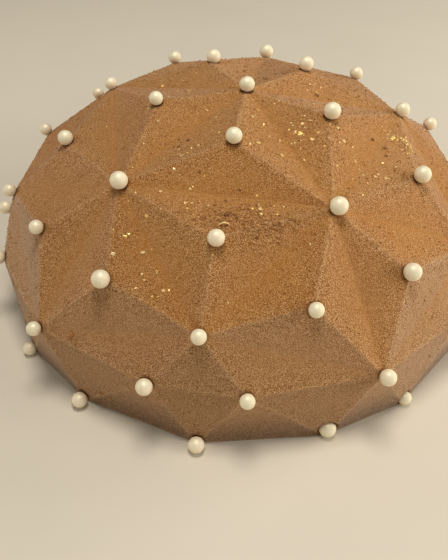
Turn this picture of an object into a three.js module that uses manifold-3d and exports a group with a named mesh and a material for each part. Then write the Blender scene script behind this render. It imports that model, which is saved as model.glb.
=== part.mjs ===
// Entremet: a faceted mousse dome in a velvet coat, with a sugar pearl on every corner of its facets.
// Millimetres, +Z up. The dome's axis is Z, its flat foot lies on z = 0 and its front looks along -Y.
import * as THREE from 'three';
import { mergeVertices } from 'three/addons/utils/BufferGeometryUtils.js';
import Module from 'manifold-3d';

// driving dimensions
const baseRadius = 90; // from the axis to the corners of the foot
const domeHeight = 76.3; // from the foot to the top corner
const sectorCount = 5; // the facets repeat five times round the axis
const pearlRadii = { small: 2.38, medium: 2.62, large: 2.84 };
const pearlBite = 0.7; // how deep a pearl is pressed into the mousse
const pearlGap = 0.32; // clearance between a pearl and its dimple

// the round form that the corners lie near: a pearl stands square to it
const roundRadius = 95;
const roundHeight = 80;
const roundDrop = 5; // how far its centre lies below the foot

// crumbs of the velvet coat and flakes of gold leaf, scattered in patches: x, y and spread in mm
const scatterSeed = 2024;
const crumbRadius = [0.55, 0.95];
const crumbSquash = [0.6, 1];
const crumbSink = 0.2; // share of a crumb's radius that lies deeper than its middle
const crumbPatches = [
  { x: 4, y: 14, spread: 42, count: 26 },
  { x: 26, y: 34, spread: 24, count: 12 },
  { x: -22, y: -30, spread: 36, count: 10 },
  { x: 2, y: -53, spread: 14, count: 14 },
  { x: 56, y: -14, spread: 24, count: 6 },
];
const flakeLength = [1.1, 1.9];
const flakeWidth = [0.8, 1.3];
const flakeThickness = 0.42;
const flakeTilt = 18; // degrees, at most
const flakePatches = [
  { x: 19, y: -18, spread: 17, count: 22 },
  { x: 52, y: 2, spread: 7, count: 9 },
  { x: 46, y: -25, spread: 11, count: 6 },
  { x: -16, y: -40, spread: 16, count: 7 },
  { x: 12, y: -49, spread: 5, count: 4 },
  { x: -27, y: -60, spread: 8, count: 6 },
  { x: -17, y: -74, spread: 6, count: 4 },
  { x: 22, y: 13, spread: 10, count: 5 },
  { x: -20, y: 0, spread: 24, count: 5 },
];
const pearlClearance = 4.6; // bare round every pearl's centre
const edgeShare = 0.05; // bare along a facet's edges, as a share of the facet
const steepest = 0.3; // least upward part of a facet's normal that holds toppings

// Rings of corners. out is a share of the base radius, up a share of the dome's height, and bearings are
// degrees inside one sector. Soft valleys meet at hubs, and tips are the points of raised pyramids.
// pearls gives the sizes, counted from the front and anticlockwise as seen from above.
const sectorAngle = 360 / sectorCount;
const half = sectorAngle / 2;
const rings = {
  apex: { out: 0, up: 1, bearings: [0], pearls: 'm' },
  crownTip: { out: 0.338, up: 0.973, bearings: [0], pearls: 'mlmms' },
  crownHub: { out: 0.626, up: 0.833, bearings: [half], pearls: 'lmlsl' },
  upperTip: { out: 0.695, up: 0.792, bearings: [0], pearls: 'mlmmm' },
  sideTip: { out: 0.87, up: 0.62, bearings: [half - 12.6, half + 12.6], pearls: 'slsmsmsssl' },
  sideHub: { out: 0.931, up: 0.542, bearings: [0], pearls: 'smmss' },
  shoulderHub: { out: 1.028, up: 0.336, bearings: [half], pearls: 'mmsms' },
  shoulderTip: { out: 1.009, up: 0.311, bearings: [-9.6, 9.6], pearls: 'mssmmsmmmm' },
  footPoint: { out: 1.01, up: 0, bearings: [0], pearls: 'mlsmm' },
  footCorner: { out: 1, up: 0, bearings: [half - 9.7, half + 9.7], pearls: 'lsmmsmlmsm' },
};
const rearSector = 2; // the pearls on this sector's foot corners are one piece with the cake

// pearls that were laid beside their corner: how far off along x and y, in mm
const strays = {
  crownTip_1: [0.5, 0.2],
  crownTip_4: [1.9, 0.3],
  crownTip_5: [0.2, -1.2],
  crownHub_1: [1, 0.3],
  crownHub_5: [1.2, 0.2],
  upperTip_1: [1, -0.1],
  upperTip_5: [0.9, 0.1],
  sideTip_1: [0.2, -0.4],
  sideTip_2: [-0.9, -0.3],
  sideHub_3: [0.6, 0.8],
  footPoint_1: [0.4, -0.6],
  footPoint_5: [2.7, 0.8],
  footCorner_1: [-0.6, 2.6],
  footCorner_2: [-0.8, 1.4],
  footCorner_10: [-0.2, -0.6],
};

const wasm = await Module();
wasm.setup();

// numbers from 0 to 1, the same on every run
function seededRandom(seed) {
  const multiplier = 16807;
  const modulus = 2147483647;
  let state = seed;
  return () => {
    state = (state * multiplier) % modulus;
    return state / modulus;
  };
}

const random = seededRandom(scatterSeed);
const between = ([low, high]) => low + (high - low) * random();

// one corner of a ring: bearing 0 looks along -Y and grows towards +X
function corner(ringName, sector, place = 0) {
  const ring = rings[ringName];
  const bearing = THREE.MathUtils.degToRad(sector * sectorAngle + ring.bearings[place]);
  const radius = ring.out * baseRadius;
  return new THREE.Vector3(radius * Math.sin(bearing), -radius * Math.cos(bearing), ring.up * domeHeight);
}

// the three facets that rise from three hubs to a tip
function pyramid(tip, hubs) {
  return hubs.map((hub, i) => [tip, hub, hubs[(i + 1) % hubs.length]]);
}

function sectorFacets(s) {
  const apex = corner('apex', 0);
  const hubBefore = corner('crownHub', s - 1);
  const hub = corner('crownHub', s);
  const side = corner('sideHub', s);
  const sideNext = corner('sideHub', s + 1);
  const shoulder = corner('shoulderHub', s);
  const tipLeft = corner('shoulderTip', s, 0);
  const tipRight = corner('shoulderTip', s, 1);
  const tipNext = corner('shoulderTip', s + 1, 0);
  const foot = corner('footPoint', s);
  const footNext = corner('footPoint', s + 1);
  const footLeft = corner('footCorner', s, 0);
  const footRight = corner('footCorner', s, 1);
  return [
    ...pyramid(corner('crownTip', s), [apex, hubBefore, hub]),
    ...pyramid(corner('upperTip', s), [hubBefore, hub, side]),
    ...pyramid(corner('sideTip', s, 0), [hub, side, shoulder]),
    ...pyramid(corner('sideTip', s, 1), [hub, sideNext, shoulder]),
    // the shoulder
    [side, tipLeft, tipRight],
    [side, tipRight, shoulder],
    [sideNext, shoulder, tipNext],
    // the steep band down to the foot
    [tipLeft, tipRight, foot],
    [tipRight, foot, footLeft],
    [tipRight, shoulder, footLeft],
    [shoulder, footLeft, footRight],
    [shoulder, footRight, tipNext],
    [tipNext, footRight, footNext],
  ];
}

function footFacets(s) {
  const middle = new THREE.Vector3();
  const left = corner('footCorner', s, 0);
  const right = corner('footCorner', s, 1);
  return [
    [middle, corner('footPoint', s), left],
    [middle, left, right],
    [middle, right, corner('footPoint', s + 1)],
  ];
}

function normalOf(facet) {
  return new THREE.Triangle(...facet).getNormal(new THREE.Vector3());
}

// orders a facet's corners so that its normal points away from the inside of the dome
function facingOut(facet) {
  const [a, b, c] = facet;
  const inside = new THREE.Vector3(0, 0, domeHeight / 3);
  return normalOf(facet).dot(a.clone().sub(inside)) > 0 ? [a, b, c] : [a, c, b];
}

const sectors = Array.from({ length: sectorCount }, (_, s) => s);
const skinFacets = sectors.flatMap(sectorFacets).map(facingOut);
const domeFacets = [...skinFacets, ...sectors.flatMap(footFacets).map(facingOut)];

function toSolid(geometry) {
  const bare = geometry.clone();
  bare.deleteAttribute('normal');
  bare.deleteAttribute('uv');
  const merged = mergeVertices(bare, 1e-3);
  const vertProperties = new Float32Array(merged.attributes.position.array);
  const triVerts = new Uint32Array(merged.index.array);
  return new wasm.Manifold(new wasm.Mesh({ numProp: 3, vertProperties, triVerts }));
}

function toGeometry(solid) {
  const { vertProperties, triVerts } = solid.getMesh();
  const geometry = new THREE.BufferGeometry();
  geometry.setAttribute('position', new THREE.BufferAttribute(new Float32Array(vertProperties), 3));
  geometry.setIndex(new THREE.BufferAttribute(new Uint32Array(triVerts), 1));
  geometry.computeVertexNormals();
  return geometry;
}

// the point of the dome's upper facets above x, y, and the share of the facet between it and an edge
function skinOver(x, y) {
  const plan = new THREE.Vector3(x, y, 0);
  for (const facet of skinFacets) {
    const normal = normalOf(facet);
    const flat = new THREE.Triangle(...facet.map((point) => point.clone().setZ(0)));
    if (normal.z < steepest || !flat.containsPoint(plan)) continue;
    const share = flat.getBarycoord(plan, new THREE.Vector3());
    const height = share.x * facet[0].z + share.y * facet[1].z + share.z * facet[2].z;
    const inner = Math.min(share.x, share.y, share.z);
    return { point: new THREE.Vector3(x, y, height), normal, inner };
  }
  return null;
}

// a stray pearl sits beside its corner, on the skin or along the foot, any other on the corner itself
function seatOf(name, point) {
  if (!strays[name]) return point;
  const [alongX, alongY] = strays[name];
  const beside = point.clone().add(new THREE.Vector3(alongX, alongY, 0));
  return point.z === 0 ? beside : skinOver(beside.x, beside.y).point;
}

// where a pearl sits: pressed into its seat, or beside a corner of the foot and level with it
function pearlCentre(point, radius) {
  const lift = radius - pearlBite;
  if (point.z === 0) {
    return point.clone().setLength(point.length() + lift).setZ(radius);
  }
  const across = roundRadius ** 2;
  const upright = roundHeight ** 2;
  const square = new THREE.Vector3(point.x / across, point.y / across, (point.z + roundDrop) / upright);
  return point.clone().addScaledVector(square.normalize(), lift);
}

function ringPearls([ringName, ring]) {
  const perSector = ring.bearings.length;
  const sizes = { s: pearlRadii.small, m: pearlRadii.medium, l: pearlRadii.large };
  return [...ring.pearls].map((size, i) => {
    const name = `${ringName}_${i + 1}`;
    const sector = Math.floor(i / perSector);
    const radius = sizes[size];
    return {
      name: `pearl_${name}`,
      centre: pearlCentre(seatOf(name, corner(ringName, sector, i % perSector)), radius),
      radius,
      fused: ringName === 'footCorner' && sector === rearSector,
    };
  });
}

const pearls = Object.entries(rings).flatMap(ringPearls);

function pearlGeometry(radius) {
  return new THREE.IcosahedronGeometry(radius, 1);
}

// a spot for a topping above x, y, or nothing where none would stay or where a pearl is near
function bareSpot(x, y) {
  const spot = skinOver(x, y);
  if (!spot || spot.inner < edgeShare) return null;
  const clear = pearls.every(({ centre }) => centre.distanceTo(spot.point) > pearlClearance);
  return clear ? spot : null;
}

// lays a small piece on the dome at a spot, spun about the facet's normal and tilted a little
function layOn(geometry, spot, tilt, spin, lift) {
  const turn = new THREE.Quaternion().setFromEuler(new THREE.Euler(tilt, tilt / 2, spin));
  const upright = new THREE.Quaternion().setFromUnitVectors(new THREE.Vector3(0, 0, 1), spot.normal);
  const place = spot.point.clone().addScaledVector(spot.normal, lift);
  return geometry.applyQuaternion(turn).applyQuaternion(upright).translate(place.x, place.y, place.z);
}

function crumbOn(spot, tilt, spin) {
  const radius = between(crumbRadius);
  const shape = new THREE.IcosahedronGeometry(radius, 0);
  shape.scale(1, between(crumbSquash), between(crumbSquash));
  return layOn(shape, spot, tilt, spin, -crumbSink * radius);
}

function flakeOn(spot, tilt, spin) {
  const shape = new THREE.BoxGeometry(between(flakeLength), between(flakeWidth), flakeThickness);
  return layOn(shape, spot, tilt, spin, 0);
}

// draws each piece's place in its patch, and makes it where the spot is bare
function scatter(patches, makePiece) {
  const pieces = [];
  for (const { x, y, spread, count } of patches) {
    for (let i = 0; i < count; i += 1) {
      const away = spread * random();
      const direction = 2 * Math.PI * random();
      const tilt = THREE.MathUtils.degToRad(flakeTilt) * (2 * random() - 1);
      const spin = Math.PI * random();
      const spot = bareSpot(x + away * Math.cos(direction), y + away * Math.sin(direction));
      if (spot) pieces.push(toSolid(makePiece(spot, tilt, spin)));
    }
  }
  return pieces;
}

function cakeSolid() {
  let cake = toSolid(new THREE.BufferGeometry().setFromPoints(domeFacets.flat()));
  for (const { centre, radius, fused } of pearls) {
    const ball = pearlGeometry(fused ? radius : radius + pearlGap).translate(centre.x, centre.y, centre.z);
    cake = fused ? cake.add(toSolid(ball)) : cake.subtract(toSolid(ball));
  }
  for (const piece of scatter(crumbPatches, crumbOn)) {
    cake = cake.add(piece);
  }
  for (const piece of scatter(flakePatches, flakeOn)) {
    cake = cake.add(piece);
  }
  return cake;
}

function cakeMesh() {
  const velvetCoat = new THREE.MeshStandardMaterial({ color: 0x9b6f46, roughness: 0.95, metalness: 0 });
  velvetCoat.flatShading = true;
  const mesh = new THREE.Mesh(toGeometry(cakeSolid()), velvetCoat);
  mesh.name = 'cake';
  return mesh;
}

function pearlMesh({ name, centre, radius }) {
  const sugarPearl = new THREE.MeshStandardMaterial({ color: 0xe9dfc6, roughness: 0.3, metalness: 0.15 });
  const mesh = new THREE.Mesh(pearlGeometry(radius), sugarPearl);
  mesh.name = name;
  mesh.position.copy(centre);
  return mesh;
}

const entremet = new THREE.Group();
entremet.add(cakeMesh());
for (const pearl of pearls.filter(({ fused }) => !fused)) {
  entremet.add(pearlMesh(pearl));
}

export default entremet;
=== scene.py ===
import math

import bmesh
import bpy
import numpy as np
from mathutils import Matrix, Vector, noise
from mathutils.bvhtree import BVHTree


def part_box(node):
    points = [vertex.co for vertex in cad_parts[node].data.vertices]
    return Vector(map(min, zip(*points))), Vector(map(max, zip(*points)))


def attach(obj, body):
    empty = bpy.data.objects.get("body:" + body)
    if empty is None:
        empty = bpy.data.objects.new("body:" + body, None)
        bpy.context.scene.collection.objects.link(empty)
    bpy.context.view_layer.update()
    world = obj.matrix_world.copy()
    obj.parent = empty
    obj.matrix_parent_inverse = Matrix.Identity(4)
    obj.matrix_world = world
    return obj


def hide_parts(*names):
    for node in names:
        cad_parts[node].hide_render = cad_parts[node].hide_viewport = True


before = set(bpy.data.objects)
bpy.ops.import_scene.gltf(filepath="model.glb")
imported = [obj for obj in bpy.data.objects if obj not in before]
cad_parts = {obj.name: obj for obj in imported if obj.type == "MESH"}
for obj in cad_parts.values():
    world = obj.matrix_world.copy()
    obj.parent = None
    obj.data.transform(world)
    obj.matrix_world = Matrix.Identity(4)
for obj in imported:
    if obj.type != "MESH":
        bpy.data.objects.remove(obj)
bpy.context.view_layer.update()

mm = 0.001
farAway = 1000.0  # mm, more than any distance on the cake
hairsWidth = 0.01  # mm, taken as no distance at all


# shapes are worked out in mm and handed over in metres
def addMeshPiece(name, points, faces, material, smooth=True):
    mesh = bpy.data.meshes.new(name)
    mesh.from_pydata((np.asarray(points) * mm).tolist(), [], [list(map(int, face)) for face in faces])
    mesh.validate()
    mesh.update()
    mesh.materials.append(material)
    mesh.polygons.foreach_set("use_smooth", [smooth] * len(mesh.polygons))
    piece = bpy.data.objects.new(name, mesh)
    bpy.context.scene.collection.objects.link(piece)
    return piece


def addPointValues(piece, name, values):
    layer = piece.data.attributes.new(name, "FLOAT", "POINT")
    layer.data.foreach_set("value", np.asarray(values, dtype=np.float32))


def noiseField(points, size, seed):
    offset = Vector((seed * 17.3, seed * 5.1, seed * 9.7))
    return np.array([noise.noise(Vector(point) / size + offset) for point in points])


def newMaterial(name):
    material = bpy.data.materials.new(name)
    material.use_nodes = True
    material.node_tree.nodes.clear()
    return material


def addNode(material, kind, inputs=None, **settings):
    node = material.node_tree.nodes.new(kind)
    for key, value in settings.items():
        setattr(node, key, value)
    for key, value in (inputs or {}).items():
        socket = node.inputs[key]
        if isinstance(value, bpy.types.NodeSocket):
            material.node_tree.links.new(value, socket)
        else:
            socket.default_value = value
    return node


# a noise of the given size in mm, as a 0 to 1 value
def noiseOf(material, size, detail=2.0, roughness=0.5):
    place = addNode(material, "ShaderNodeTexCoord").outputs["Object"]
    inputs = {"Vector": place, "Scale": 1 / (size * mm), "Detail": detail, "Roughness": roughness}
    return addNode(material, "ShaderNodeTexNoise", inputs).outputs["Fac"]


def rangeOf(material, value, low, high, toLow=0.0, toHigh=1.0):
    inputs = {"Value": value, "From Min": low, "From Max": high, "To Min": toLow, "To Max": toHigh}
    return addNode(material, "ShaderNodeMapRange", inputs).outputs["Result"]


def timesOf(material, first, second):
    node = addNode(material, "ShaderNodeMath", {0: first, 1: second}, operation="MULTIPLY")
    return node.outputs["Value"]


def mixOf(material, share, first, second, blend="MIX"):
    node = addNode(material, "ShaderNodeMix", data_type="RGBA", blend_type=blend)
    for key, value in {"Factor_Float": share, "A_Color": first, "B_Color": second}.items():
        socket = next(s for s in node.inputs if s.identifier == key)
        if isinstance(value, bpy.types.NodeSocket):
            material.node_tree.links.new(value, socket)
        else:
            socket.default_value = value
    return next(s for s in node.outputs if s.identifier == "Result_Color")


def attributeOf(material, name):
    return addNode(material, "ShaderNodeAttribute", attribute_name=name).outputs["Fac"]


# a colour that drifts between two others in soft patches of the given size
def tintOf(material, size, detail, first, second):
    share = rangeOf(material, noiseOf(material, size, detail), 0.35, 0.65)
    return mixOf(material, share, first, second)


def bumpOf(material, relief, depth):
    inputs = {"Height": relief, "Distance": depth * mm}
    return addNode(material, "ShaderNodeBump", inputs).outputs["Normal"]


def finishMaterial(material, shader):
    addNode(material, "ShaderNodeOutputMaterial", {"Surface": shader.outputs["BSDF"]})
    return material


print("helpers ready")

# the moulded dome: rings of corners as shares of the foot's radius and of the height, with their
# bearings in degrees within one sector
sectors = 5
halfSector = 180 / sectors
dome = {
    "baseRadius": 90.0,
    "height": 76.3,
    "rings": {
        "apex": (0, 1, [0]),
        "crownTip": (0.338, 0.973, [0]),
        "crownHub": (0.626, 0.833, [halfSector]),
        "upperTip": (0.695, 0.792, [0]),
        "sideTip": (0.87, 0.62, [halfSector - 12.6, halfSector + 12.6]),
        "sideHub": (0.931, 0.542, [0]),
        "shoulderHub": (1.028, 0.336, [halfSector]),
        "shoulderTip": (1.009, 0.311, [-9.6, 9.6]),
        "footPoint": (1.01, 0, [0]),
        "footCorner": (1, 0, [halfSector - 9.7, halfSector + 9.7]),
    },
}


def corner(ringName, sector, place=0):
    out, up, bearings = dome["rings"][ringName]
    bearing = math.radians(sector * 2 * halfSector + bearings[place])
    radius = out * dome["baseRadius"]
    return np.array((radius * math.sin(bearing), -radius * math.cos(bearing), up * dome["height"]))


# three facets that meet in a raised tip
def pyramid(tip, hubs):
    return [(tip, hubs[i], hubs[(i + 1) % 3]) for i in range(3)]


# one fifth of the dome, from the apex to the foot
def sectorFacets(s):
    apex = corner("apex", 0)
    hubBefore = corner("crownHub", s - 1)
    hub = corner("crownHub", s)
    side = corner("sideHub", s)
    sideNext = corner("sideHub", s + 1)
    shoulder = corner("shoulderHub", s)
    tipLeft = corner("shoulderTip", s, 0)
    tipRight = corner("shoulderTip", s, 1)
    tipNext = corner("shoulderTip", s + 1, 0)
    foot = corner("footPoint", s)
    footNext = corner("footPoint", s + 1)
    footLeft = corner("footCorner", s, 0)
    footRight = corner("footCorner", s, 1)
    facets = pyramid(corner("crownTip", s), (apex, hubBefore, hub))
    facets += pyramid(corner("upperTip", s), (hubBefore, hub, side))
    facets += pyramid(corner("sideTip", s, 0), (hub, side, shoulder))
    facets += pyramid(corner("sideTip", s, 1), (hub, sideNext, shoulder))
    facets += [
        (side, tipLeft, tipRight),
        (side, tipRight, shoulder),
        (sideNext, shoulder, tipNext),
        (tipLeft, tipRight, foot),
        (tipRight, foot, footLeft),
        (tipRight, shoulder, footLeft),
        (shoulder, footLeft, footRight),
        (shoulder, footRight, tipNext),
        (tipNext, footRight, footNext),
    ]
    return facets


def normalOf(facet):
    normal = np.cross(facet[1] - facet[0], facet[2] - facet[0])
    return normal / np.linalg.norm(normal)


def facingOut(facet):
    inside = np.array((0, 0, dome["height"] / 3))
    a, b, c = facet
    return np.array((a, b, c) if normalOf(facet) @ (a - inside) > 0 else (a, c, b))


skinFacets = [facingOut(facet) for s in range(sectors) for facet in sectorFacets(s)]
skinNormals = [normalOf(facet) for facet in skinFacets]


# pearls sit where their nodes are; the two at the very back belong to the cake's own node
rearPearls = {"footCorner_5": (2, 0, 2.38), "footCorner_6": (2, 1, 2.62)}  # sector, place, radius
pearlBite = 0.7  # mm that a pearl at the foot sinks into the dome


def pearlPlaces():
    places = {}
    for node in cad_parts:
        if node.startswith("pearl_"):
            low, high = (np.array(point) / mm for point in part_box(node))
            places[node[len("pearl_"):]] = ((low + high) / 2, (high - low)[2] / 2)
    for name, (sector, place, radius) in rearPearls.items():
        point = corner("footCorner", sector, place)
        centre = point * (1 + (radius - pearlBite) / np.linalg.norm(point))
        places[name] = (centre + np.array((0, 0, radius)), radius)
    return places


pearls = pearlPlaces()
print("pearls found", len(pearls))

# the velvet coat over the mousse
coat = {
    "cuts": 58,  # fine steps along each facet's edge
    "crowding": 1.35,  # above 1, the steps lie closer together by the facet's edges
    "ridgeWidth": 0.45,  # mm on each side that a ridge is rounded
    "valleyWidth": 1.8,  # mm on each side that a valley is filled
    "roundingSteps": 12,
    "ridgeSteps": 3,  # how many of them round the ridges too
    "softening": 0.6,  # share of the way to the neighbours' middle at each step
    # relief: sizes and heights in mm
    "waveSize": 24.0,
    "waveHeight": 0.22,
    "peelSize": 3.4,
    "peelHeight": 0.1,
    "grainSize": 1.5,
    "grainHeight": 0.1,
    # the clumped patch on the front, on the plan in mm
    "roughCentre": (6.0, -54.0),
    "roughSpread": (17.0, 6.5),
    "roughSize": 1.5,
    "roughHeight": 0.8,
    "roughSpray": 0.1,  # how much coarser the spray lies there
    "sprayBase": 0.7,  # how coarse the spray lies away from every ridge
    "coarsening": 0.5,  # how much coarser on a ridge
    "coarseReach": 5.0,  # mm from the ridge over which that fades
    "smoothing": 0.3,  # how much smoother in a valley
    "smoothReach": 3.5,  # mm from the valley over which that fades
    "pearlShadowReach": 1.5,  # mm round a pearl over which the coat gets painted shadow
    "pearlShadowFade": 1.4,
    "paintedRidgeHighlight": 1.0,  # mm on each side of a ridge that gets a painted highlight
    "dimpleGap": 0.28,  # mm between a pearl and the coat under it
    "footBand": 1.2,  # mm above the foot over which the relief fades out
    "bareTop": 16.0,  # mm above the foot where painted shade on the undercut starts
    "bareFull": 3.0,  # mm above the foot where the painted shade is full
    # the upward part of a facet's normal, and how coarse the spray, and how strong the painted light and
    # shade, are there
    "sprayAt": ((-0.2, 0.1, 0.6), (0.45, 0.8, 1)),
    "topLightAt": ((0.86, 0.96), (0, 1)),
    "steepSheenAt": ((0.35, 0.8), (1, 0)),
    "bareAt": ((-0.1, 0.02), (1, 0.25)),
    "bareLimit": 0.2,  # no facet that looks up more than this gets the painted shade
}


# a fine triangle grid over a facet: each point as shares of the facet's corners, and the faces
def facetGrid(cuts):
    steps = [(i, j) for i in range(cuts + 1) for j in range(cuts + 1 - i)]
    index = {step: n for n, step in enumerate(steps)}
    shares = np.array([(cuts - i - j, i, j) for i, j in steps]) ** coat["crowding"]
    shares = shares / shares.sum(axis=1, keepdims=True)
    faces = []
    for i, j in steps:
        if i + j < cuts:
            faces.append((index[i, j], index[i + 1, j], index[i, j + 1]))
        if i + j < cuts - 1:
            faces.append((index[i + 1, j], index[i + 1, j + 1], index[i, j + 1]))
    return shares, np.array(faces)


def edgeKey(a, b):
    return tuple(sorted((tuple(np.round(a, 2)), tuple(np.round(b, 2)))))


# an edge is a valley where the facet beyond it rises above this facet's plane
def findValleys():
    across = {}
    for facet in skinFacets:
        for i in range(3):
            across.setdefault(edgeKey(facet[i], facet[(i + 1) % 3]), []).append(facet[(i + 2) % 3])
    valleys = set()
    for facet, normal in zip(skinFacets, skinNormals):
        for i in range(3):
            key = edgeKey(facet[i], facet[(i + 1) % 3])
            others = [point for point in across[key] if abs(normal @ (point - facet[i])) > hairsWidth]
            if others and normal @ (others[0] - facet[i]) > 0:
                valleys.add(key)
    return valleys


# the whole dome as one fine mesh, with each point's distance from ridges and valleys in mm
def fineSkin():
    shares, gridFaces = facetGrid(coat["cuts"])
    valleys = findValleys()
    points, faces, ridgeAway, valleyAway, upwards = [], [], [], [], []
    for n, (facet, normal) in enumerate(zip(skinFacets, skinNormals)):
        points.append(shares @ facet)
        faces.append(gridFaces + n * len(shares))
        area = np.linalg.norm(np.cross(facet[1] - facet[0], facet[2] - facet[0]))
        ridge = np.full(len(shares), farAway)
        valley = np.full(len(shares), farAway)
        for i in range(3):
            a, b = facet[(i + 1) % 3], facet[(i + 2) % 3]
            away = shares[:, i] * area / np.linalg.norm(b - a)
            if edgeKey(a, b) in valleys:
                valley = np.minimum(valley, away)
            else:
                ridge = np.minimum(ridge, away)
        ridgeAway.append(ridge)
        valleyAway.append(valley)
        upwards.append(np.full(len(shares), normal[2]))
    points = np.concatenate(points)
    _, first, same = np.unique(np.round(points, 3), axis=0, return_index=True, return_inverse=True)
    same = same.ravel()
    ridge = np.full(len(first), farAway)
    valley = np.full(len(first), farAway)
    np.minimum.at(ridge, same, np.concatenate(ridgeAway))
    np.minimum.at(valley, same, np.concatenate(valleyAway))
    upward = np.bincount(same, np.concatenate(upwards)) / np.bincount(same)
    return points[first], same[np.concatenate(faces)], ridge, valley, upward


# rounds ridges a little and fills valleys more, by averaging with the neighbours
def softenEdges(points, faces, ridgeAway, valleyAway):
    pairs = np.concatenate((faces[:, (0, 1)], faces[:, (1, 2)], faces[:, (2, 0)]))
    pairs = np.unique(np.sort(pairs, axis=1), axis=0)
    count = np.bincount(pairs.ravel(), minlength=len(points))[:, None]
    ridgeShare = np.clip(1 - ridgeAway / coat["ridgeWidth"], 0, 1)
    valleyShare = np.clip(1 - valleyAway / coat["valleyWidth"], 0, 1)
    onFoot = points[:, 2] < hairsWidth
    for step in range(coat["roundingSteps"]):
        total = np.zeros_like(points)
        for axis in range(3):
            total[:, axis] = np.bincount(pairs[:, 0], points[pairs[:, 1], axis], len(points))
            total[:, axis] += np.bincount(pairs[:, 1], points[pairs[:, 0], axis], len(points))
        share = np.maximum(valleyShare, ridgeShare if step < coat["ridgeSteps"] else 0)
        share[onFoot] = 0
        points = points + coat["softening"] * share[:, None] * (total / count - points)
    return points


# one arrow for each face: it points straight out of the face and is twice the face's area long
def facesCrossed(points, faces):
    corners = points[faces]
    return np.cross(corners[:, 1] - corners[:, 0], corners[:, 2] - corners[:, 0])


def pointNormals(points, faces):
    crossed = facesCrossed(points, faces)
    normals = np.zeros_like(points)
    for i in range(3):
        np.add.at(normals, faces[:, i], crossed)
    return normals / np.linalg.norm(normals, axis=1, keepdims=True)


# 1 at the centre on the plan, and less the farther a point lies from it
def bell(points, centre, spread):
    away = (points[:, :2] - np.array(centre)) / np.array(spread)
    return np.exp(-(away ** 2).sum(axis=1))


# pushes the skin out of every pearl, so that each sits in a dimple of its own
def pressDimples(points):
    for name, (centre, radius) in pearls.items():
        offset = points - centre
        away = np.linalg.norm(offset, axis=1)
        room = radius + coat["dimpleGap"]
        inside = away < room
        if name.startswith("foot"):
            points[inside] = pressInward(offset[inside], centre, room)
        else:
            points[inside] = centre + offset[inside] * (room / away[inside])[:, None]
    return points


# a pearl at the foot is tucked in from the side, so the skin there goes level and inwards
def pressInward(offset, centre, room):
    outward = np.array((centre[0], centre[1], 0)) / math.hypot(centre[0], centre[1])
    sideways = offset - (offset @ outward)[:, None] * outward
    depth = np.sqrt(np.maximum(room ** 2 - (sideways ** 2).sum(axis=1), 0))
    return centre + sideways - depth[:, None] * outward


# closes the skin with the flat foot
def addFoot(points, faces):
    rim = np.where(points[:, 2] < hairsWidth)[0]
    rim = rim[np.argsort(np.arctan2(points[rim, 1], points[rim, 0]))]
    middle = len(points)
    points = np.concatenate((points, [(0, 0, 0)]))
    foot = [(middle, rim[(i + 1) % len(rim)], rim[i]) for i in range(len(rim))]
    return points, np.concatenate((faces, foot))


coatColours = {
    "brown": (0.325, 0.123, 0.018, 1),
    "pale": (0.35, 0.143, 0.024, 1),
    "level": (0.41, 0.175, 0.032, 1),  # painted top light: lighter and warmer on nearly level facets
    "paintedSteepSheen": (0.325, 0.17, 0.07, 1),  # painted sheen: greyer on steep facets
    "bare": (0.11, 0.055, 0.023, 1),  # painted shade, low on the undercut facets under the shoulder
    "deep": (0.13, 0.043, 0.008, 1),  # painted shade in the pits between the grains
    "light": (0.62, 0.37, 0.175, 1),  # painted highlight on the grains' tips and the ridges
    "pearlShadow": (0.09, 0.026, 0.006, 1),  # painted contact shadow, close round a pearl
    # how much of each colour shows where it is thickest
    "topLightShare": 0.5,
    "pitShare": 0.95,
    "tipShare": 0.8,
    "ridgeShare": 0.16,
    "pearlShadowShare": 0.95,
    # sizes and depths in mm
    "mottleSize": 16.0,
    "speckSize": 0.31,
    "pitsAt": (0.5, 0.36),  # the speck noise's values where the pits start and are deepest
    "tipsAt": (0.5, 0.64),
    "bumpSize": 0.31,
    "bumpDepth": 0.27,
    "roughness": 0.85,
    "shine": 0.25,
    "pearlShadowEdge": 0.7,  # the painted shadow's strength at which the coat under a pearl is dullest
    "pearlShadowShine": 0.1,
    "sheen": 0.27,
    "sheenRoughness": 0.45,
    "sheenTint": (1.0, 0.95, 0.84, 1),
}


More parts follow.
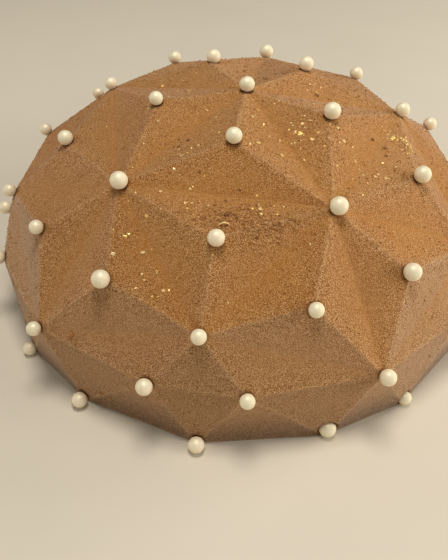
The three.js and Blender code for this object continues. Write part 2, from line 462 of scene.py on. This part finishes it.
def makeCoatMaterial():
    material = newMaterial("velvetCoat")
    look = coatColours
    pearlShadow = attributeOf(material, "pearlShadow")
    spray = attributeOf(material, "spray")
    colour = tintOf(material, look["mottleSize"], 3.0, look["brown"], look["pale"])
    # painted top light on the nearly level facets
    level = timesOf(material, attributeOf(material, "level"), look["topLightShare"])
    colour = mixOf(material, level, colour, look["level"])
    # painted sheen, greyer on steep facets
    colour = mixOf(material, attributeOf(material, "paintedSteepSheen"), colour, look["paintedSteepSheen"])
    # painted shade low on the undercut facets
    colour = mixOf(material, attributeOf(material, "bare"), colour, look["bare"])
    # painted shade in the pits and painted highlight on the tips of the grain, stronger where the spray
    # is coarse
    speck = noiseOf(material, look["speckSize"], 2.0, 0.6)
    pits = timesOf(material, rangeOf(material, speck, *look["pitsAt"]), spray)
    tips = timesOf(material, rangeOf(material, speck, *look["tipsAt"]), spray)
    colour = mixOf(material, timesOf(material, pits, look["pitShare"]), colour, look["deep"])
    colour = mixOf(material, timesOf(material, tips, look["tipShare"]), colour, look["light"])
    # painted highlight along the ridges
    ridge = timesOf(material, attributeOf(material, "ridge"), look["ridgeShare"])
    colour = mixOf(material, ridge, colour, look["light"])
    # painted contact shadow on the coat round each pearl
    colour = mixOf(material, timesOf(material, pearlShadow, look["pearlShadowShare"]), colour, look["pearlShadow"])
    # the pits between the grains and the coat under a pearl don't shine
    beside = rangeOf(material, pearlShadow, 0, look["pearlShadowEdge"], 1, look["pearlShadowShine"])
    openness = timesOf(material, rangeOf(material, pits, 0, 1, 1, 0), beside)
    relief = timesOf(material, noiseOf(material, look["bumpSize"], 2.0, 0.55), spray)
    shader = addNode(material, "ShaderNodeBsdfPrincipled", {
        "Base Color": colour,
        "Normal": bumpOf(material, relief, look["bumpDepth"]),
        "Roughness": look["roughness"],
        "Specular IOR Level": timesOf(material, openness, look["shine"]),
        "Sheen Weight": timesOf(material, openness, look["sheen"]),
        "Sheen Roughness": look["sheenRoughness"],
        "Sheen Tint": look["sheenTint"],
    })
    return finishMaterial(material, shader)


# how coarse the spray lies: coarser on upper facets and by ridges, and smoother in valleys
def sprayOf(upward, ridgeAway, valleyAway):
    spray = np.interp(upward, *coat["sprayAt"])
    coarse = coat["sprayBase"] + coat["coarsening"] * np.exp(-ridgeAway / coat["coarseReach"])
    smooth = 1 - coat["smoothing"] * np.exp(-valleyAway / coat["smoothReach"])
    return spray * coarse * smooth


# painted contact shadow: 1 where a pearl touches the coat, down to 0 at the edge of the shadow round it
def pearlShadowOf(points):
    gap = np.full(len(points), farAway)
    for centre, radius in pearls.values():
        gap = np.minimum(gap, np.linalg.norm(points - centre, axis=1) - radius)
    return np.clip(1 - gap / coat["pearlShadowReach"], 0, 1) ** coat["pearlShadowFade"]


def makeCoat():
    points, faces, ridgeAway, valleyAway, upward = fineSkin()
    print("skin points", len(points), "faces", len(faces))
    points = softenEdges(points, faces, ridgeAway, valleyAway)
    normals = pointNormals(points, faces)
    spray = sprayOf(upward, ridgeAway, valleyAway)
    roughPatch = bell(points, coat["roughCentre"], coat["roughSpread"])
    spray += coat["roughSpray"] * roughPatch
    wave = noiseField(points, coat["waveSize"], 1)
    peel = noiseField(points, coat["peelSize"], 2)
    grain = noiseField(points, coat["grainSize"], 3)
    rough = noiseField(points, coat["roughSize"], 4) * roughPatch
    relief = coat["waveHeight"] * wave + coat["peelHeight"] * peel
    relief += coat["grainHeight"] * grain * spray + coat["roughHeight"] * rough
    relief *= np.clip(points[:, 2] / coat["footBand"], 0, 1)
    points = pressDimples(points + normals * relief[:, None])
    points[:, 2] = np.maximum(points[:, 2], 0)
    points, faces = addFoot(points, faces)
    piece = addMeshPiece("velvetCoat", points, faces, makeCoatMaterial())
    # the point in the middle of the foot comes last, so each list gets one more value
    spray = np.append(spray, 0)
    # painted shade on the undercut facets, darker towards the foot
    undercutShade = np.interp(upward, *coat["bareAt"]) * (upward < coat["bareLimit"])
    lowDown = np.interp(points[:, 2], (coat["bareFull"], coat["bareTop"]), (1, 0))
    addPointValues(piece, "spray", spray)
    # painted top light on the nearly level facets
    addPointValues(piece, "level", np.append(np.interp(upward, *coat["topLightAt"]), 0))
    # painted sheen on the steep facets
    addPointValues(piece, "paintedSteepSheen", np.append(np.interp(upward, *coat["steepSheenAt"]), 1))
    addPointValues(piece, "bare", np.append(undercutShade, 1) * lowDown)
    # painted highlight along the ridges
    addPointValues(piece, "ridge", np.append(np.clip(1 - ridgeAway / coat["paintedRidgeHighlight"], 0, 1), 0))
    # painted contact shadow round the pearls
    addPointValues(piece, "pearlShadow", pearlShadowOf(points))
    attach(piece, "root")
    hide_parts("cake")
    return points, faces, spray


skinPoints, skinFaces, skinSpray = makeCoat()
skinTree = BVHTree.FromPolygons(skinPoints.tolist(), skinFaces.tolist())
print("coat made")

# sugar pearls
pearlLook = {
    "colour": (0.85, 0.76, 0.51, 1),
    "rose": (0.88, 0.745, 0.52, 1),
    "lustre": (1.0, 0.92, 0.78, 1),
    "tintSize": 6.0,
    "dents": 0.02,  # share of the radius
    "dentSize": 0.8,  # in radii
    "bumpSize": 0.9,
    "bumpDepth": 0.03,
    "roughness": 0.5,
    "metallic": 0.2,
}


def makePearlMaterial():
    material = newMaterial("sugarPearl")
    colour = tintOf(material, pearlLook["tintSize"], 1.0, pearlLook["colour"], pearlLook["rose"])
    relief = noiseOf(material, pearlLook["bumpSize"])
    shader = addNode(material, "ShaderNodeBsdfPrincipled", {
        "Base Color": colour,
        "Normal": bumpOf(material, relief, pearlLook["bumpDepth"]),
        "Roughness": pearlLook["roughness"],
        "Metallic": pearlLook["metallic"],
        "Specular Tint": pearlLook["lustre"],
    })
    return finishMaterial(material, shader)


def unitBall(steps=3):
    shape = bmesh.new()
    bmesh.ops.create_icosphere(shape, subdivisions=steps, radius=1)
    points = np.array([vertex.co[:] for vertex in shape.verts])
    faces = np.array([[vertex.index for vertex in face.verts] for face in shape.faces])
    shape.free()
    return points, faces


ballPoints, ballFaces = unitBall()
pearlMaterial = makePearlMaterial()


def makePearl(name, centre, radius, seed):
    dents = np.abs(noiseField(ballPoints, pearlLook["dentSize"], seed))
    points = centre + ballPoints * (radius * (1 - pearlLook["dents"] * dents))[:, None]
    points[:, 2] = np.maximum(points[:, 2], 0)
    piece = addMeshPiece("sugarPearl_" + name, points, ballFaces, pearlMaterial)
    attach(piece, "root")
    if name not in rearPearls:
        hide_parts("pearl_" + name)


for number, (pearlName, (pearlCentre, pearlRadius)) in enumerate(pearls.items()):
    makePearl(pearlName, pearlCentre, pearlRadius, number + 1)
print("pearls made")

# gold leaf and cocoa crumbs, drawn in the same order as the solid's
# a patch is its x, y and reach in mm, and how many pieces are tried there
toppings = {
    "seed": 2024,
    "pearlClearance": 4.6,  # mm round a pearl's centre that stays bare
    "margin": 0.05,  # how far from a facet's edges they stay, as a share of the facet
    "fineMargin": 0.005,  # the same for the finer pieces
    "steepest": 0.3,  # the least upward part of a facet's normal at which they stay on
    "tilt": 18,  # degrees at most
}
crumbs = {
    "radius": (0.55, 0.95),
    "squash": (0.6, 1),
    "girth": 0.85,  # before the lumps
    "lumpiness": 0.45,
    "lumpSize": 0.7,  # in radii
    "sink": 0.2,  # share of the radius
    "patches": [
        (4, 14, 42, 26),
        (26, 34, 24, 12),
        (-22, -30, 36, 10),
        (2, -53, 14, 14),
        (56, -14, 24, 6),
    ],
    "finePatches": [
        (4, 14, 42, 44),
        (16, 30, 24, 50),
        (-22, -30, 36, 24),
        (6, -54, 14, 40),
        (56, -14, 24, 10),
        (-5, -60, 50, 16),
    ],
    "fineScale": 0.45,
    "colour": (0.15, 0.062, 0.018, 1),
    "paleColour": (0.3, 0.14, 0.05, 1),
    "tintSize": 2.5,
    "tintDetail": 2.0,
    "bumpSize": 0.25,
    "bumpDepth": 0.06,
    "surface": {"Roughness": 0.8, "Specular IOR Level": 0.3},
}
flakes = {
    "length": (1.1, 1.9),
    "width": (0.8, 1.3),
    "corners": 5,
    "reach": 0.9,  # of the corners, as a share of the size
    "raggedness": 0.4,  # how much that differs
    "crumple": 0.12,  # mm that the rim bends up and down
    "rim": (0.16, 0.07),  # mm over the coat, and thickness
    "middle": (0.24, 0.14),
    "patches": [
        (19, -18, 17, 22),
        (52, 2, 7, 9),
        (46, -25, 11, 6),
        (-16, -40, 16, 7),
        (12, -49, 5, 4),
        (-27, -60, 8, 6),
        (-17, -74, 6, 4),
        (22, 13, 10, 5),
        (-20, 0, 24, 5),
    ],
    "finePatches": [
        (19, -18, 22, 30),
        (49, 3, 2.5, 10),
        (52, 1, 2, 14),
        (55, 1, 2, 14),
        (57, -2, 2, 12),
        (57, -6, 2, 7),
        (46, -25, 14, 10),
        (-16, -40, 20, 10),
        (12, -49, 9, 10),
        (-27, -60, 12, 5),
        (-17, -74, 9, 3),
        (22, 13, 16, 10),
        (-20, 0, 28, 8),
        (0, -20, 60, 30),
        (-9, -50, 6, 7),
    ],
    "fineScale": 0.6,
    "colour": (0.97, 0.56, 0.12, 1),
    "paleColour": (1.0, 0.79, 0.38, 1),
    "tintSize": 1.4,
    "tintDetail": 1.0,
    "bumpSize": 0.4,
    "bumpDepth": 0.05,
    "surface": {"Roughness": 0.35, "Metallic": 0.4},
}


# the same even numbers between 0 and 1 as the solid's rule gives
def seededRandom(seed):
    multiplier, modulus = 16807, 2147483647
    state = seed
    while True:
        state = (state * multiplier) % modulus
        yield state / modulus


draws = seededRandom(toppings["seed"])


def between(low, high):
    return low + (high - low) * next(draws)


# the point and facet normal of the dome above x, y, or nothing where no topping lies
def bareSpot(x, y, margin=toppings["margin"]):
    for facet, normal in zip(skinFacets, skinNormals):
        if normal[2] < toppings["steepest"]:
            continue
        (ax, ay), (bx, by), (cx, cy) = facet[:, :2]
        whole = (by - cy) * (ax - cx) + (cx - bx) * (ay - cy)
        first = ((by - cy) * (x - cx) + (cx - bx) * (y - cy)) / whole
        second = ((cy - ay) * (x - cx) + (ax - cx) * (y - cy)) / whole
        shares = np.array((first, second, 1 - first - second))
        if shares.min() < 0:
            continue
        point = shares @ facet
        nearest = min(np.linalg.norm(centre - point) for centre, radius in pearls.values())
        clear = nearest > toppings["pearlClearance"]
        return (point, normal) if shares.min() > margin and clear else None
    return None


# tries every piece of every patch, and keeps those that fall on a bare spot
def scatter(patches, shapePiece, scale=1.0, margin=toppings["margin"]):
    found = []
    for x, y, spread, count in patches:
        for i in range(count):
            away = spread * next(draws)
            direction = 2 * math.pi * next(draws)
            tilt = math.radians(toppings["tilt"]) * (2 * next(draws) - 1)
            spin = math.pi * next(draws)
            spot = bareSpot(x + away * math.cos(direction), y + away * math.sin(direction), margin)
            if spot:
                found.append(shapePiece(spot, tilt, spin, scale))
    return found


# the point of the sprayed skin under or over a point of the plain facet
def ontoSkin(point, normal):
    reach = 3.0  # mm
    hit = skinTree.ray_cast(Vector(point + normal * reach), Vector(-normal), 2 * reach)
    return np.array(hit[0]) if hit[0] else point


# turns a shape and lays it on the skin
def layOn(points, spot, tilt, spin, lift):
    normal = spot[1]
    point = ontoSkin(spot[0], normal)
    turn = Matrix.Rotation(tilt, 3, "X") @ Matrix.Rotation(tilt / 2, 3, "Y")
    turn = turn @ Matrix.Rotation(spin, 3, "Z")
    upright = Vector((0, 0, 1)).rotation_difference(Vector(normal)).to_matrix()
    return points @ np.array(upright @ turn).T + point + normal * lift


crumbPoints, crumbFaces = unitBall(2)


def shapeCrumb(spot, tilt, spin, scale):
    radius = between(*crumbs["radius"]) * scale
    squash = np.array((1, between(*crumbs["squash"]), between(*crumbs["squash"])))
    lumps = crumbs["girth"] + crumbs["lumpiness"] * noiseField(crumbPoints, crumbs["lumpSize"], spin * 9)
    points = crumbPoints * lumps[:, None] * squash * radius
    return layOn(points, spot, tilt, spin, -crumbs["sink"] * radius), crumbFaces


# a thin torn plate: the same number that turns it sets how its rim is torn
def shapeFlake(spot, tilt, spin, scale):
    count = flakes["corners"]
    size = np.array((between(*flakes["length"]), between(*flakes["width"]))) * scale / 2
    angles = np.linspace(0, 2 * math.pi, count, endpoint=False)
    ragged = flakes["raggedness"] * np.sin(angles * 2 + spin * 7) * np.cos(angles * 3 + spin * 5)
    reach = flakes["reach"] + ragged
    outline = np.stack((np.cos(angles) * reach * size[0], np.sin(angles) * reach * size[1]), axis=1)
    rimHeight, rimThickness = flakes["rim"]
    peak, thickness = flakes["middle"]
    top = np.column_stack((outline, flakes["crumple"] * np.sin(angles * 2 + spin * 11) + rimHeight))
    points = np.concatenate((top, top - (0, 0, rimThickness), [(0, 0, peak), (0, 0, peak - thickness)]))
    faces = []
    for i in range(count):
        j = (i + 1) % count
        faces += [(2 * count, i, j), (2 * count + 1, count + j, count + i)]
        faces += [(i, count + i, j), (j, count + i, count + j)]
    return layOn(points, spot, tilt, spin, 0), np.array(faces)


# one long shaving of leaf stands up in an arch behind a pearl
curl = {
    "place": (2.2, -57.2),  # mm, as the next five are
    "length": 3.4,
    "rise": 1.1,
    "width": 0.6,
    "thickness": 0.08,
    "sink": 0.05,
    "turn": 14,  # degrees
    "steps": 10,
}


def shapeCurl():
    along = np.linspace(-1, 1, curl["steps"] + 1)
    arch = np.column_stack((along * curl["length"] / 2, 0 * along, curl["rise"] * (1 - along ** 2)))
    half = np.array((0, curl["width"] / 2, 0))
    thick = np.array((0, 0, curl["thickness"]))
    rows = (arch - half, arch + half, arch + half + thick, arch - half + thick)
    points = np.stack(rows, axis=1).reshape(-1, 3)
    faces = []
    for step in range(curl["steps"]):
        for i in range(4):
            a, b = 4 * step + i, 4 * step + (i + 1) % 4
            faces += [(a, b, a + 4), (b, b + 4, a + 4)]
    end = 4 * curl["steps"]
    faces += [(0, 2, 1), (0, 3, 2), (end, end + 1, end + 2), (end, end + 2, end + 3)]
    spot = bareSpot(*curl["place"])
    return layOn(points, spot, 0, math.radians(curl["turn"]), -curl["sink"]), np.array(faces)


def joinShapes(shapes):
    points, faces, start = [], [], 0
    for shapePoints, shapeFaces in shapes:
        points.append(shapePoints)
        faces.append(shapeFaces + start)
        start += len(shapePoints)
    return np.concatenate(points), np.concatenate(faces)


def makeToppingMaterial(name, look):
    material = newMaterial(name)
    relief = noiseOf(material, look["bumpSize"])
    inputs = dict(look["surface"])
    inputs["Base Color"] = tintOf(
        material, look["tintSize"], look["tintDetail"], look["colour"], look["paleColour"]
    )
    inputs["Normal"] = bumpOf(material, relief, look["bumpDepth"])
    return finishMaterial(material, addNode(material, "ShaderNodeBsdfPrincipled", inputs))


def makeToppings():
    crumbShapes = scatter(crumbs["patches"], shapeCrumb)
    flakeShapes = scatter(flakes["patches"], shapeFlake)
    fineMargin = toppings["fineMargin"]
    crumbShapes += scatter(crumbs["finePatches"], shapeCrumb, crumbs["fineScale"], fineMargin)
    flakeShapes += scatter(flakes["finePatches"], shapeFlake, flakes["fineScale"], fineMargin)
    flakeShapes.append(shapeCurl())
    crumbMaterial = makeToppingMaterial("cocoaCrumb", crumbs)
    leafMaterial = makeToppingMaterial("goldLeaf", flakes)
    crumbPiece = addMeshPiece("cocoaCrumbs", *joinShapes(crumbShapes), crumbMaterial)
    flakePiece = addMeshPiece("goldLeaf", *joinShapes(flakeShapes), leafMaterial, smooth=False)
    for piece, slotName in ((crumbPiece, "cocoa_crumb"), (flakePiece, "gold_leaf")):
        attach(piece, "root")
        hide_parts("cake")
    print("crumbs", len(crumbShapes), "flakes", len(flakeShapes))


makeToppings()

# loose grains thrown by the spray gun, thickest on the rough patch and near the ridges
grains = {
    "count": 7000,
    "radius": (0.13, 0.36),
    "sink": 0.3,  # share of the radius
    "seed": 41,
    "lumpiness": 0.35,
    "everywhere": 0.3,  # how thick they lie away from the patches
    # a patch is its centre and spread in mm, and how much thicker they lie there
    "patches": [
        ((6, -54), (15, 5.5), 4.0),
        ((22, -22), (20, 16), 1.2),
        ((5, 15), (40, 36), 0.4),
    ],
    "colour": (0.3, 0.118, 0.018, 1),
    "paleColour": (0.5, 0.25, 0.08, 1),
    "clumpGrowth": 1.1,  # how much larger a grain may be on the rough patch
    "lowest": 4.0,  # mm above the foot
    "roughness": 0.8,
    "shine": 0.3,
    "sheen": 0.2,
}


def grainDensity(points, spray):
    density = grains["everywhere"] * spray ** 2
    for centre, spread, more in grains["patches"]:
        density += more * spray * bell(points, centre, spread)
    return density * (points[:, 2] > grains["lowest"])


def clearOfPearls(points, gap):
    clear = np.ones(len(points), dtype=bool)
    for centre, radius in pearls.values():
        clear &= np.linalg.norm(points - centre, axis=1) > radius + gap
    return clear


# a few nubs of mousse that stuck low on the sides: a place near the skin in mm, and a radius
nubs = [
    ((-42, -78, 28), 1.0),
    ((-40, -79, 26), 0.6),
    ((-33, -83, 8), 0.7),
    ((-42, -80, 4), 0.6),
    ((-30, -85, 7), 0.5),
]


def addNubs(places, normals, radii):
    for near, radius in nubs:
        place, normal = skinTree.find_nearest(Vector(near))[:2]
        places = np.vstack((places, place))
        normals = np.vstack((normals, normal))
        radii = np.append(radii, radius)
    return places, normals, radii


def makeGrainMaterial():
    material = newMaterial("velvetGrain")
    colour = mixOf(material, attributeOf(material, "shade"), grains["colour"], grains["paleColour"])
    shader = addNode(material, "ShaderNodeBsdfPrincipled", {
        "Base Color": colour,
        "Roughness": grains["roughness"],
        "Specular IOR Level": grains["shine"],
        "Sheen Weight": grains["sheen"],
    })
    return finishMaterial(material, shader)


def makeGrains():
    random = np.random.default_rng(grains["seed"])
    corners = skinPoints[skinFaces]
    crossed = facesCrossed(skinPoints, skinFaces)
    area = np.linalg.norm(crossed, axis=1)
    chance = area * grainDensity(corners.mean(axis=1), skinSpray[skinFaces].mean(axis=1))
    picks = random.choice(len(chance), grains["count"], p=chance / chance.sum())
    shares = random.dirichlet((1, 1, 1), grains["count"])
    places = (corners[picks] * shares[:, :, None]).sum(axis=1)
    low, high = grains["radius"]
    radii = low + (high - low) * random.random(grains["count"]) ** 3
    clump = bell(places, coat["roughCentre"], coat["roughSpread"]) * random.random(grains["count"])
    radii = radii * (1 + grains["clumpGrowth"] * clump)
    clear = clearOfPearls(places, 2 * high)
    places, radii, picks = places[clear], radii[clear], picks[clear]
    places, normals, radii = addNubs(places, crossed[picks] / area[picks][:, None], radii)
    ball, ballSides = unitBall(1)
    uneven = 1 + grains["lumpiness"] * (random.random((len(places), len(ball), 1)) - 0.5)
    lifted = places + normals * (radii * (1 - 2 * grains["sink"]))[:, None]
    points = (lifted[:, None, :] + ball * uneven * radii[:, None, None]).reshape(-1, 3)
    faces = (ballSides + np.arange(len(places))[:, None, None] * len(ball)).reshape(-1, 3)
    piece = addMeshPiece("velvetGrains", points, faces, makeGrainMaterial())
    addPointValues(piece, "shade", np.repeat(random.random(len(places)), len(ball)))
    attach(piece, "root")
    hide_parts("cake")
    print("grains", len(places))


makeGrains()

# the studio: camera, floor and lights
camera = {
    "lens": 44.28,
    "downTilt": 41.62,  # degrees, as the next two are
    "turn": 9.19,
    "roll": 0.95,
    "distance": 284.9,  # mm from the foot's middle, as the next two are
    "sideways": -6.73,
    "upwards": -7.92,
    "clipStart": 0.01,  # m
}


def addCamera():
    down = math.radians(camera["downTilt"])
    roll = math.radians(camera["roll"])
    forward = Vector((0, math.cos(down), -math.sin(down)))
    right = Vector((1, 0, 0))
    up = Vector((0, math.sin(down), math.cos(down)))
    place = -forward * camera["distance"] + right * camera["sideways"] + up * camera["upwards"]
    rolledRight = right * math.cos(roll) + up * math.sin(roll)
    rolledUp = up * math.cos(roll) - right * math.sin(roll)
    pose = Matrix((rolledRight, rolledUp, -forward)).transposed().to_4x4()
    pose.translation = place * mm
    data = bpy.data.cameras.new("camera")
    data.lens = camera["lens"]
    data.clip_start = camera["clipStart"]
    cameraObject = bpy.data.objects.new("camera", data)
    cameraObject.matrix_world = Matrix.Rotation(math.radians(camera["turn"]), 4, "Z") @ pose
    bpy.context.scene.collection.objects.link(cameraObject)
    bpy.context.scene.camera = cameraObject


nearWhite = (1.0, 0.99, 0.97)
# bearings from the front and rises in degrees, sizes in m
lights = {
    "top": {"bearing": 0, "rise": 89, "size": 0.34, "power": 5.2, "colour": (1.0, 0.98, 0.95)},
    "right": {"bearing": 118, "rise": 18, "size": 0.5, "power": 4.6, "colour": nearWhite},
    "nearRight": {"bearing": 84, "rise": 18, "size": 0.5, "power": 4.1, "colour": nearWhite},
    "front": {"bearing": 5, "rise": 18, "size": 0.5, "power": 2.0, "colour": nearWhite},
    "left": {"bearing": 278, "rise": 18, "size": 0.6, "power": 2.2, "colour": nearWhite},
}
lightDistance = 0.9  # m
lightAim = Vector((0, 0, 0.04))
room = {"colour": (0.9, 0.87, 0.82, 1), "strength": 0.06}
floor = {
    "colour": (0.64, 0.565, 0.44, 1),
    "width": 6.0,  # m
    "drop": 0.0002,  # m under the cake's foot, so that the two faces don't meet
    "mottleSize": 60.0,  # mm
    "mottleLeast": 0.97,  # how much light its darkest patches keep
    "roughness": 0.7,
}


def addLights():
    for name, light in lights.items():
        data = bpy.data.lights.new(name, "AREA")
        data.shape = "DISK"
        data.size = light["size"]
        data.energy = light["power"]
        data.color = light["colour"]
        bearing = math.radians(light["bearing"])
        rise = math.radians(light["rise"])
        level = Vector((math.sin(bearing), -math.cos(bearing), 0)) * math.cos(rise)
        lamp = bpy.data.objects.new(name, data)
        lamp.location = (level + Vector((0, 0, math.sin(rise)))) * lightDistance
        lamp.visible_glossy = name == "top"  # so a pearl has one highlight, near its top
        lamp.rotation_euler = (lightAim - lamp.location).to_track_quat("-Z", "Y").to_euler()
        bpy.context.scene.collection.objects.link(lamp)
    world = bpy.data.worlds.new("room")
    world.use_nodes = True
    background = world.node_tree.nodes["Background"]
    background.inputs["Color"].default_value = room["colour"]
    background.inputs["Strength"].default_value = room["strength"]
    bpy.context.scene.world = world


def addFloor():
    half = floor["width"] / 2 / mm
    points = [(-half, -half, 0), (half, -half, 0), (half, half, 0), (-half, half, 0)]
    material = newMaterial("paleFloor")
    mottle = noiseOf(material, floor["mottleSize"])
    tint = rangeOf(material, mottle, 0.3, 0.7, floor["mottleLeast"], 1.0)
    colour = mixOf(material, 1.0, floor["colour"], tint, "MULTIPLY")
    inputs = {"Base Color": colour, "Roughness": floor["roughness"]}
    finishMaterial(material, addNode(material, "ShaderNodeBsdfPrincipled", inputs))
    surface = addMeshPiece("floor", points, [(0, 1, 2, 3)], material, smooth=False)
    surface.location.z = -floor["drop"]


addCamera()
addLights()
addFloor()
bpy.context.scene.view_settings.view_transform = "Standard"
print("studio ready")
